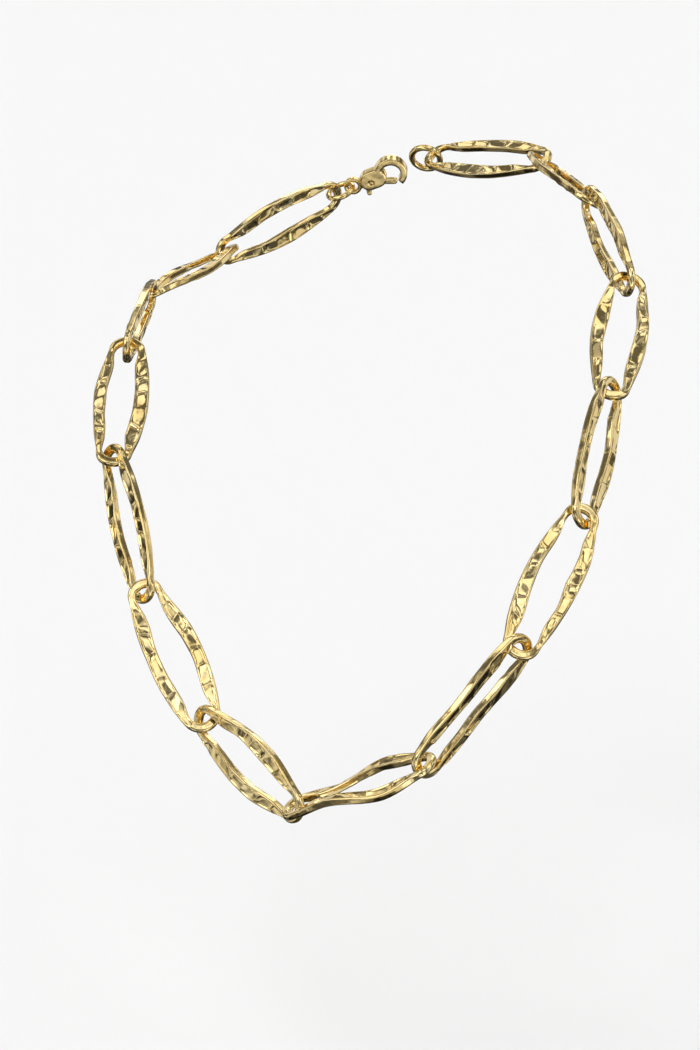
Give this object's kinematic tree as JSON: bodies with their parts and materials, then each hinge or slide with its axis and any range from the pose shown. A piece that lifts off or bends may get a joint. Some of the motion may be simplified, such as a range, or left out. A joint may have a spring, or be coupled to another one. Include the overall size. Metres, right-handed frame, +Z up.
{
  "type": "chain necklace",
  "caption": "Necklace of long hammered oval links hung in each other, draped as round a neck, with a lobster clasp at the nape.",
  "frame": {"origin": "on the axis of the neck that wears the chain, level with the nape, where the neck carries it", "axes": "+Z up along the neck, the wearer faces -Y, and +X is to the wearer's left, so the chain hangs down and forward from the origin"},
  "size_m": [0.1187, 0.1684, 0.1057],
  "materials": {
    "hammered_gold": "hammered and polished",
    "polished_gold": "polished",
    "spring_steel": "bright drawn wire"
  },
  "bodies": {
    "link_01": {"link_01": "hammered_gold"},
    "link_02": {"link_02": "hammered_gold"},
    "link_03": {"link_03": "hammered_gold"},
    "link_04": {"link_04": "hammered_gold"},
    "link_05": {"link_05": "hammered_gold"},
    "link_06": {"link_06": "hammered_gold"},
    "link_07": {"link_07": "hammered_gold"},
    "link_08": {"link_08": "hammered_gold"},
    "link_09": {"link_09": "hammered_gold"},
    "link_10": {"link_10": "hammered_gold"},
    "link_11": {"link_11": "hammered_gold"},
    "link_12": {"link_12": "hammered_gold"},
    "link_13": {"link_13": "hammered_gold"},
    "link_14": {"link_14": "hammered_gold"},
    "link_15": {"link_15": "hammered_gold"},
    "clasp_ring": {"clasp_ring": "polished_gold"},
    "clasp_body": {"clasp_body": "polished_gold", "clasp_pin": "polished_gold", "clasp_spring": "spring_steel"},
    "clasp_lever": {"clasp_lever": "polished_gold"},
    "closing_ring": {"closing_ring": "polished_gold"}
  },
  "joints": [
    {"name": "link_07_lift", "type": "hinge", "parent": "link_08", "child": "link_07", "pos_m": [-0.01606, -0.1061, -0.09546], "axis": [0.2654, -0.1589, 0.9509], "range_deg": [0, 60]},
    {"name": "link_06_lift", "type": "hinge", "parent": "link_07", "child": "link_06", "pos_m": [-0.03528, -0.08395, -0.08719], "axis": [0.9049, 0.2782, 0.3222], "range_deg": [0, 24]},
    {"name": "link_05_lift", "type": "hinge", "parent": "link_06", "child": "link_05", "pos_m": [-0.04844, -0.06723, -0.06566], "axis": [0.5858, -0.5443, 0.6004], "range_deg": [0, 24]},
    {"name": "link_04_lift", "type": "hinge", "parent": "link_05", "child": "link_04", "pos_m": [-0.05626, -0.04734, -0.03999], "axis": [0.5858, -0.5443, 0.6004], "range_deg": [0, 24]},
    {"name": "link_03_lift", "type": "hinge", "parent": "link_04", "child": "link_03", "pos_m": [-0.0544, -0.02392, -0.02577], "axis": [0.0884, -0.0974, 0.9913], "range_deg": [0, 60]},
    {"name": "link_02_lift", "type": "hinge", "parent": "link_03", "child": "link_02", "pos_m": [-0.05055, 0.00913, -0.02287], "axis": [0.0884, -0.0974, 0.9913], "range_deg": [0, 18]},
    {"name": "link_01_lift", "type": "hinge", "parent": "link_02", "child": "link_01", "pos_m": [-0.03622, 0.03244, -0.02106], "axis": [-0.1795, -0.3141, 0.9323], "range_deg": [0, 16]},
    {"name": "clasp_ring_lift", "type": "hinge", "parent": "link_01", "child": "clasp_ring", "pos_m": [-0.00886, 0.04837, -0.01043], "axis": [-0.1795, -0.3141, 0.9323], "range_deg": [0, 45]},
    {"name": "clasp_lift", "type": "hinge", "parent": "clasp_ring", "child": "clasp_body", "pos_m": [-0.00811, 0.04792, -0.01005], "axis": [-0.3996, -0.2029, 0.8939], "range_deg": [0, 30]},
    {"name": "link_09_lift", "type": "hinge", "parent": "link_08", "child": "link_09", "pos_m": [0.00767, -0.11378, -0.08225], "axis": [0.4974, 0.3821, -0.7789], "range_deg": [0, 14]},
    {"name": "link_10_lift", "type": "hinge", "parent": "link_09", "child": "link_10", "pos_m": [0.02711, -0.10016, -0.06335], "axis": [0.9011, -0.2267, -0.3695], "range_deg": [0, 14]},
    {"name": "link_11_lift", "type": "hinge", "parent": "link_10", "child": "link_11", "pos_m": [0.04144, -0.08056, -0.04042], "axis": [0.9011, -0.2267, -0.3695], "range_deg": [0, 18]},
    {"name": "link_12_lift", "type": "hinge", "parent": "link_11", "child": "link_12", "pos_m": [0.04813, -0.05767, -0.0216], "axis": [0.5351, 0.4383, -0.7222], "range_deg": [0, 16]},
    {"name": "link_13_lift", "type": "hinge", "parent": "link_12", "child": "link_13", "pos_m": [0.05331, -0.03175, -0.00676], "axis": [0.973, -0.0706, -0.2199], "range_deg": [0, 60]},
    {"name": "link_14_lift", "type": "hinge", "parent": "link_13", "child": "link_14", "pos_m": [0.0468, -0.00683, 0.00268], "axis": [0.8251, 0.2692, -0.4967], "range_deg": [0, 44]},
    {"name": "link_15_lift", "type": "hinge", "parent": "link_14", "child": "link_15", "pos_m": [0.03718, 0.02512, 0.00402], "axis": [0.8251, 0.2692, -0.4967], "range_deg": [0, 8]},
    {"name": "closing_ring_lift", "type": "hinge", "parent": "link_15", "child": "closing_ring", "pos_m": [0.01502, 0.04203, 0.00002], "axis": [0.3825, 0.3945, -0.8355], "range_deg": [0, 45]},
    {"name": "clasp_lever_pivot", "type": "hinge", "parent": "clasp_body", "child": "clasp_lever", "pos_m": [-0.00073, 0.0476, -0.00748], "axis": [-0.0376, -0.9707, -0.2372], "range_deg": [0, 20], "stiffness_Nm_per_rad": 0.002, "deforming": ["clasp_spring"]}
  ]
}
